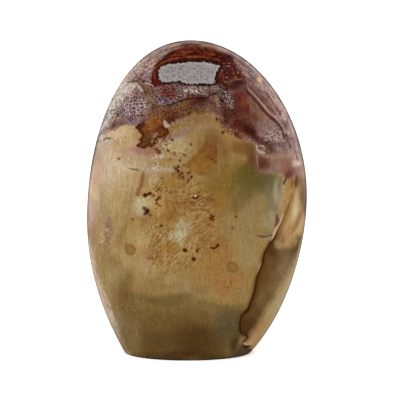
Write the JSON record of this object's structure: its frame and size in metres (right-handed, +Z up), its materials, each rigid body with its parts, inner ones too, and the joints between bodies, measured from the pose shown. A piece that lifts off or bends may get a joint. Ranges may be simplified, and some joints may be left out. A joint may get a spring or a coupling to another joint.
{
  "type": "jasper freeform",
  "caption": "Polished egg-shaped stone with one broad, softly domed face and a flat sawn foot on which it stands upright for display.",
  "frame": {"origin": "under the middle of the stone's bounding box, on the plane of the flat sawn foot", "axes": "+Z up, from the foot to the rounded crown; -Y is the way the broad marked face looks; +X is to the right of someone looking at that face"},
  "size_m": [0.088, 0.048, 0.126],
  "materials": {
    "polished_jasper": "gloss"
  },
  "bodies": {
    "root": {"jasper_stone": "polished_jasper"}
  },
  "joints": []
}
